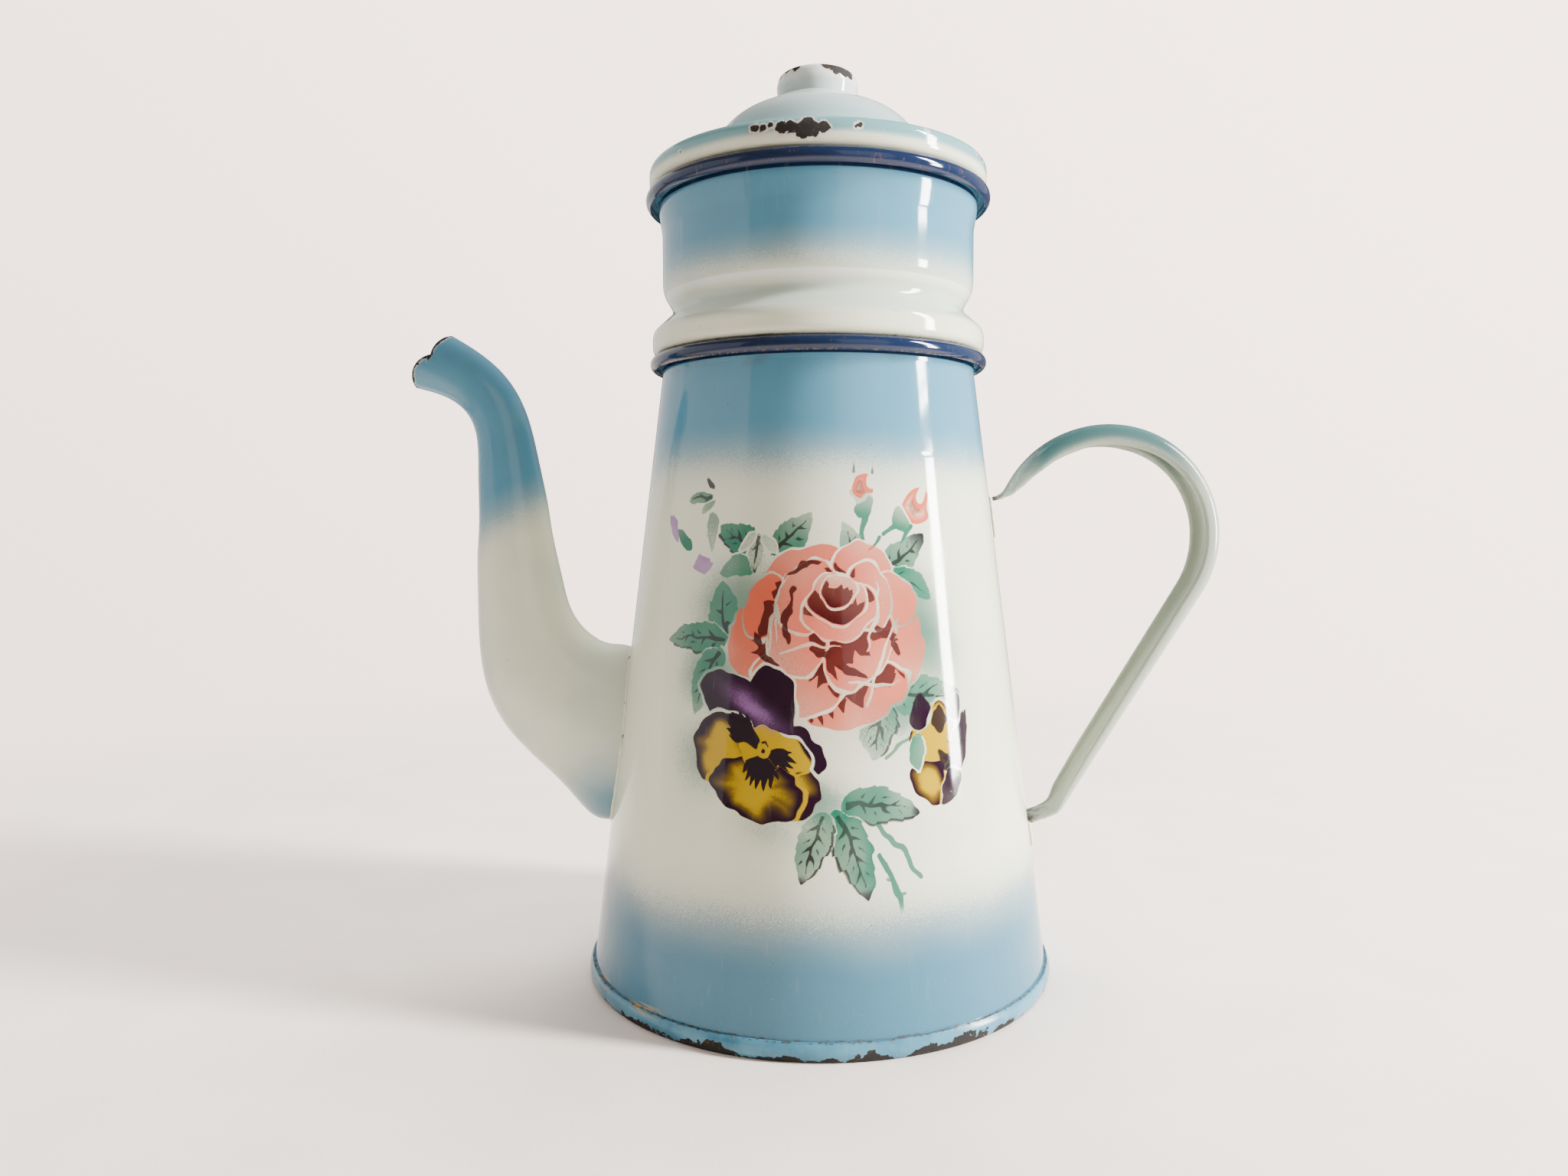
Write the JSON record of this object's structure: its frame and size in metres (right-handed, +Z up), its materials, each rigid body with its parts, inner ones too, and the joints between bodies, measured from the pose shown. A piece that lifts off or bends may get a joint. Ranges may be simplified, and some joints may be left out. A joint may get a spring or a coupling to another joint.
{
  "type": "drip coffee pot",
  "caption": "Two-tier enamelled drip pot: conical pot with gooseneck spout and strap handle, lift-off filter cup with tamper and spreader, and a domed lid.",
  "frame": {"origin": "where the pot's axis meets the surface that it stands on", "axes": "+Z up the pot's axis, -X towards the spout, +X towards the handle"},
  "size_m": [0.2603, 0.1508, 0.2877],
  "materials": {
    "pot_enamel": "glossy sprayed enamel, blue fading to cream, with a stencilled flower spray",
    "base_enamel": "glossy blue enamel, chipped to dark metal along its edge",
    "spout_enamel": "glossy sprayed enamel, blue fading to cream",
    "handle_enamel": "glossy pale grey-green enamel, teal on the arch",
    "filter_enamel": "glossy sprayed enamel, blue fading to cream, navy rim",
    "inside_enamel": "glossy off-white enamel",
    "lid_enamel": "glossy off-white enamel with a pale teal rim, chipped",
    "tinned_steel": "dull tinned sheet",
    "rivet_steel": "dull tinned wire",
    "turned_knob": "turned and tinned"
  },
  "bodies": {
    "pot": {"pot_wall": "pot_enamel", "pot_base": "base_enamel", "spout_front_half": "spout_enamel", "spout_back_half": "spout_enamel", "handle_strap": "handle_enamel"},
    "filter": {"filter_wall": "filter_enamel", "filter_floor": "inside_enamel"},
    "tamper": {"tamper_plate": "tinned_steel", "tamper_stem": "tinned_steel", "tamper_knob": "turned_knob"},
    "spreader": {"spreader_dish": "tinned_steel", "spreader_strip": "tinned_steel", "spreader_rivets": "rivet_steel"},
    "lid": {"lid_shell": "lid_enamel", "lid_knob": "lid_enamel"}
  },
  "joints": [
    {"name": "filter_lift", "type": "slide", "parent": "pot", "child": "filter", "axis": [0, 0, 1], "range_m": [0, 0.08]},
    {"name": "tamper_lift", "type": "slide", "parent": "filter", "child": "tamper", "axis": [0, 0, 1], "range_m": [0, 0.11]},
    {"name": "spreader_lift", "type": "slide", "parent": "tamper", "child": "spreader", "axis": [0, 0, 1], "range_m": [0, 0.05]},
    {"name": "lid_lift", "type": "slide", "parent": "spreader", "child": "lid", "axis": [0, 0, 1], "range_m": [0, 0.04]}
  ]
}
